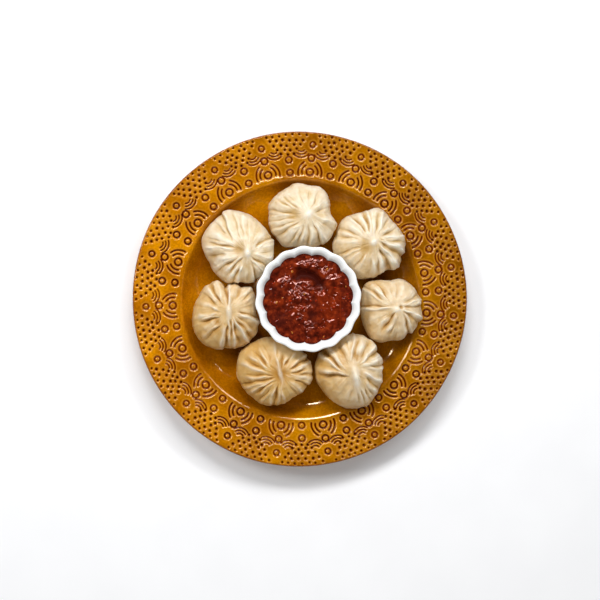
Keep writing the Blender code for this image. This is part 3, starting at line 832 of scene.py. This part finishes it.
def sideProfile(rows):
    # Shares of the belly's radius and of the height, from the knot down over the belly to the base.
    down = np.linspace(0, 1, 400)
    angle = down * math.radians(148)
    upper, lower = np.minimum(angle, math.pi / 2), np.maximum(angle, math.pi / 2)
    reach = np.sin(upper) ** 0.92 - 0.36 * (1 - np.sin(lower)) / (1 - math.sin(math.radians(148)))
    height = 0.40 + 0.60 * np.abs(np.cos(upper)) ** 0.92
    height -= 0.40 * np.sin(lower - math.pi / 2) / math.sin(math.radians(58))
    length = np.concatenate([[0], np.cumsum(np.hypot(np.diff(reach) * 27, np.diff(height) * 35))])
    want = np.linspace(0, length[-1], rows + 1)[1:]
    return np.interp(want, length, reach), np.interp(want, length, height), want / length[-1]


def foldRelief(momo, away, turns):
    # Height of the folds above the plain dough, how deep in a crease each point lies and how near a
    # ridge's crest, from its distance from the knot and its direction. The dough swells between
    # creases, so every pleat is round.
    ridges, valleys, shade, crest = (np.zeros_like(away) for _ in range(4))
    chance = random.Random(momo["seed"])
    folds = list(momo["folds"])
    for _ in range(dough["wrinkles"]):
        start = chance.uniform(2, 5)
        folds.append((chance.uniform(0, 360), start, start + chance.uniform(4, 9),
                      chance.choice((-0.35, 0.3)), chance.uniform(0.5, 0.7), chance.uniform(-15, 15)))
    for turn, start, end, rise, width, bend in folds:
        share = np.clip((away / mm - start) / (end - start), 0, 1)
        # its inner end passes the knot by this much, and its outer end points straight away
        aside = start * math.sin(math.radians(max(-88, min(88, 1.25 * bend))))
        path = math.radians(turn) + np.arcsin(aside / np.maximum(away / mm, start)) - math.asin(aside / end)
        side = ((turns - path + math.pi) % (2 * math.pi) - math.pi) * away / mm
        phase = chance.uniform(0, 2 * math.pi)
        side += 0.4 * np.sin(0.45 * away / mm + phase)  # no fold is quite straight
        reach = width * (0.7 + 0.5 * share)
        fade = smooth(start - 1, start + 5, away / mm) * (1 - smooth(end - 6, end + 3, away / mm))
        fade *= 1 + 0.28 * np.sin(0.6 * away / mm + 2 * phase)
        if rise > 0:
            bump = fade * np.exp(-(np.abs(side) / (1.35 * reach)) ** 1.5)
            ridges = np.maximum(ridges, rise * mm * bump)
            crest = np.maximum(crest, min(1.0, rise) * bump)
        else:
            side *= 1 if momo["lap"] > 0 else -1  # the pleat on this side lies over its neighbour
            slope = dough["puff"] * (0.5 + 0.5 * share) * reach
            slope *= np.where(side > 0, 0.4, 1.0 + abs(momo["lap"]))
            soft = np.exp(-np.abs(side) / slope)
            sharp = np.exp(-(np.abs(side) / (0.8 * reach)) ** 1.4)
            valleys += (-rise * mm * fade * (0.62 * soft + 0.42 * sharp)) ** 3
            swell = np.exp(-((side - 2.3 * reach) / (1.3 * reach)) ** 2)
            ridges = np.maximum(ridges, -0.42 * rise * mm * fade * swell)
            shade = np.maximum(shade, min(1.0, -rise / 1.9) * fade * (0.5 * soft + 0.5 * sharp))
    return ridges - valleys ** (1 / 3), shade, crest


def softened(relief):
    # the relief with everything narrower than a pleat smoothed away
    for axis, reach in ((1, 9), (0, 3), (1, 9), (0, 3)):
        margin = ((reach, reach), (0, 0)) if axis == 0 else ((0, 0), (reach, reach))
        padded = np.pad(relief, margin, "edge" if axis == 0 else "wrap")
        parts = [np.take(padded, range(k, k + relief.shape[axis]), axis) for k in range(2 * reach + 1)]
        relief = sum(parts) / len(parts)
    return relief


def makeMomo(name, momo, finish):
    reach, height, along = (v[:, None] for v in sideProfile(dough["rows"]))
    turns = (2 * math.pi * np.arange(dough["columns"]) / dough["columns"])[None, :]
    belly = mm * closedCurve(momo["outline"], turns)
    toKnot = np.clip((height - 0.40) / 0.60, 0, 1) ** 1.3  # the rings close in on the knot, not on the centre
    x = (momo["at"][0] + momo["knot"][0] * toKnot) * mm + belly * reach * np.cos(turns)
    y = (momo["at"][1] + momo["knot"][1] * toKnot) * mm + belly * reach * np.sin(turns)
    z = restHeight + (momo["high"] - 1.5) * mm * height + 0 * turns

    # the side below the belly carries on the folds that reach it
    knotX, knotY = ((momo["at"][k] + momo["knot"][k]) * mm for k in (0, 1))
    widest = int(np.argmax(reach))
    away = np.hypot(x - knotX, y - knotY)
    direction = np.arctan2(y - knotY, x - knotX)
    away[widest:] = away[widest] + 0.9 * (z[widest] - z[widest:])
    direction[widest:] = direction[widest]
    relief, shade, crest = foldRelief(momo, away, direction)

    long, wide, turn, rise, shift = momo["tip"]  # the pinched tip
    cosTurn, sinTurn = math.cos(math.radians(turn)), math.sin(math.radians(turn))
    ahead = (x - knotX) * cosTurn + (y - knotY) * sinTurn - shift * mm
    aside = (y - knotY) * cosTurn - (x - knotX) * sinTurn
    fromTip = (ahead / (long * mm)) ** 2 + (aside / (wide * mm)) ** 2
    relief += rise * mm * np.exp(-(fromTip**0.8))
    dentX, dentY, dentWide, dentDeep = momo["dimple"]
    dent = np.exp(-(((x - knotX) / mm - dentX) ** 2 + ((y - knotY) / mm - dentY) ** 2) / dentWide ** 2)
    dent *= height > 0.4
    relief -= dentDeep * mm * dent

    # each point moves along the plain dough's own normal
    plain = np.stack([x, y, z], axis=2)
    across = np.roll(plain, -1, axis=1) - np.roll(plain, 1, axis=1)
    down = np.gradient(plain, axis=0)
    normal = np.cross(down, across)
    normal /= np.linalg.norm(normal, axis=2, keepdims=True)
    flat = plain.reshape(-1, 3)
    for k, (size, rise) in enumerate(dough["lumps"]):
        relief += rise * mm * fieldNoise(flat, size * mm, momo["seed"] + 10 * k).reshape(relief.shape)
    streaks = np.stack([13 * np.cos(direction), 13 * np.sin(direction), away / (10 * mm)], axis=2)
    streaks = fieldNoise(streaks.reshape(-1, 3), 1.0, momo["seed"] + 40).reshape(relief.shape)
    relief += 0.2 * mm * smooth(2, 9, away / mm) * streaks
    shape = plain + normal * relief[:, :, None]

    # how tan the dough is at each point, partly its own tone and partly painted shade; the painted shade in
    # creases, the dimple and hollows; and the painted highlight on ridges and the tip, over paler stretched
    # dough
    hump = relief - softened(relief)
    eastward, northward = (shape[:, :, k] / mm - momo["at"][k] for k in (0, 1))
    tanEast, tanNorth = momo.get("tanSide", (-0.22, -0.14))
    # painted shade: the tan grows towards the side away from the light
    tan = np.clip(momo["tone"] + (tanEast * eastward + tanNorth * northward) / 25, 0, 1.2)
    # painted shade in the creases, in the dimple and in hollows narrower than a pleat
    creased = np.clip(0.5 * shade + 0.8 * dent - 0.45 * hump / mm, 0, 0.85)
    # painted highlight on crests, the tip and bumps, over dough paler where it is stretched
    stretchedAndHighlit = (1 - 0.45 * tan) * np.clip(0.3 * crest + 0.9 * np.exp(-fromTip) + 0.7 * hump / mm, 0, 1)
    floor = plateTop(np.hypot(shape[:, :, 0], shape[:, :, 1]) + 1 * mm) + gap
    shape[:, :, 2] = np.maximum(shape[:, :, 2], floor)
    inward = np.minimum(1, (plate["floorRadius"] - 1 * mm) / np.hypot(shape[-1, :, 0], shape[-1, :, 1]))
    shape[-1, :, 0] *= inward
    shape[-1, :, 1] *= inward
    shape[-1, :, 2] = restHeight

    rings = [shape[0].mean(axis=0)[None, :]] + list(shape) + [shape[-1].mean(axis=0)[None, :]]
    points, faces = skinRings(rings)
    # belly: painted shade, darker towards the base below the belly
    looks = {"crease": creased, "crest": stretchedAndHighlit, "belly": smooth(0.45, 0.02, height) + 0 * turns}
    stored = {key: np.concatenate([[0], values.ravel(), [0]]) for key, values in looks.items()}
    stored["tone"] = np.concatenate([tan[:1, 0], tan.ravel(), tan[-1:, 0]])
    addPiece(name, points, faces, finish, momo["node"], stored)
    print(name + ":", len(faces), "triangles")


def steamedDough():
    # Thin wheat dough, pleated by hand and steamed. The eye sees a soft cream skin that light sinks
    # into, faintly oily. Creases and the lower belly carry painted shade, ridges and the tip a painted
    # highlight, and the tan tone is partly painted shade on the momo and sides away from the light.
    made, tree, place = startMaterial("handPleatedSteamedWheatDough")
    clouds = addNoise(tree, place, 11 * mm, 4.0, 0.55)
    body = addRamp(tree, clouds, (0.34, "#dcc499"), (0.66, "#e9dcc3"))
    # painted shade in the creases
    paintedCreaseShade = addMix(tree, addAttribute(tree, "crease"), body, linear("#ba934e"))
    # painted shade under the belly
    lower = addMix(tree, addAttribute(tree, "belly"), paintedCreaseShade, linear("#c9a469"))
    # the tan tone, partly the dough's own colour and partly painted shade
    tonedAndShaded = addMix(tree, addAttribute(tree, "tone"), lower, linear("#ecd098"), "MULTIPLY")
    # painted highlight on ridges and the tip, with paler stretched dough
    stretchedAndHighlit = addMix(tree, addAttribute(tree, "crest"), tonedAndShaded, linear("#f2ebd9"))
    endMaterial(tree, {
        "Base Color": stretchedAndHighlit, "Roughness": addRange(tree, clouds, 0.3, 0.7, 0.24, 0.42), "IOR": 1.42,
        "Specular IOR Level": 0.36, "Subsurface Weight": 0.4, "Subsurface Radius": (1.0, 0.82, 0.6),
        "Subsurface Scale": 1.3 * mm,
        "Normal": addBump(tree, addNoise(tree, place, 1.8 * mm, 3.0, 0.6), 0.35, 0.2 * mm)})
    return made


studio = {
    "cameraHeight": 0.9,  # above the rim
    "cameraTilt": math.radians(4),
    "lookAt": (-1.1 * mm, -0.8 * mm),
    "lens": 70,
    "floorHalf": 3.0,
    "ambient": 0.19,
    # each lamp: place, width and height, power and colour
    "windows": {
        "northWindowLight": ((-0.12, 0.72, 0.92), (0.52, 0.20), 7.0, "#fbfcff"),
        "westWindowLight": ((-0.62, 0.36, 0.86), (0.42, 0.20), 4.3, "#fbfcff"),
        "eastWindowLight": ((0.47, 0.84, 1.0), (0.95, 0.18), 6.4, "#fcfcff"),
    },
    "fill": ((0.35, -0.95, 1.1), (1.2, 1.2), 4.8, "#fcfcfc"),
}


def paleFloor():
    # Seamless studio paper. The eye sees an even off-white with no gloss.
    made, tree, place = startMaterial("paleStudioPaper")
    body = addRamp(tree, addNoise(tree, place, 50 * mm, 2.0), (0.3, "#fafaf9"), (0.7, "#fdfdfc"))
    endMaterial(tree, {"Base Color": body, "Roughness": 0.9, "IOR": 1.3})
    return made


def addLight(name, place, size, power, colour):
    # a soft lamp that looks at the food
    lamp = bpy.data.lights.new(name, "AREA")
    lamp.shape, lamp.size, lamp.size_y, lamp.energy = "ELLIPSE", size[0], size[1], power
    lamp.color = linear(colour)[:3]
    holder = bpy.data.objects.new(name, lamp)
    holder.location = place
    holder.rotation_euler = (Vector((0, 0, 20 * mm)) - Vector(place)).to_track_quat("-Z", "Y").to_euler()
    scene.collection.objects.link(holder)
    return holder


def makeStudio():
    mesh = bpy.data.meshes.new("studioFloor")
    half = studio["floorHalf"]
    corners = [(-half, -half, 0), (half, -half, 0), (half, half, 0), (-half, half, 0)]
    mesh.from_pydata(corners, [], [(0, 1, 2, 3)])
    mesh.materials.append(paleFloor())
    ground = bpy.data.objects.new("studioFloor", mesh)
    scene.collection.objects.link(ground)
    for name, window in studio["windows"].items():
        addLight(name, *window)
    fill = addLight("fillLight", *studio["fill"])
    fill.visible_glossy = False  # only the windows shine in the glaze and the oil
    world = bpy.data.worlds.new("studioRoom")
    scene.world = world
    world.use_nodes = True
    background = world.node_tree.nodes["Background"]
    background.inputs["Color"].default_value = linear("#fbfcff")
    background.inputs["Strength"].default_value = studio["ambient"]
    world.cycles_visibility.glossy = False
    lens = bpy.data.cameras.new("overheadCamera")
    lens.lens, lens.sensor_width = studio["lens"], 36
    camera = bpy.data.objects.new("overheadCamera", lens)
    tilt = studio["cameraTilt"]
    back = Vector((-math.sin(tilt), 0, math.cos(tilt)))
    right = Vector((math.cos(tilt), 0, math.sin(tilt)))
    camera.location = Vector((*studio["lookAt"], plate["rimHeight"])) + back * studio["cameraHeight"]
    camera.rotation_euler = Matrix((right, back.cross(right), back)).transposed().to_euler()
    scene.collection.objects.link(camera)
    scene.camera = camera
    scene.view_settings.view_transform = "Standard"
    print("studio: floor, four lights and camera")


makePlate()
makePot()
makeChutney(tomatoChilliChutney())
scatterOnChutney("chilliSeeds", seeds, oiledSeed())
scatterOnChutney("chilliFlakes", flakes, wetChilliFlake())
doughFinish = steamedDough()
for momoName, momoData in momoList.items():
    makeMomo(momoName, momoData, doughFinish)
makeStudio()
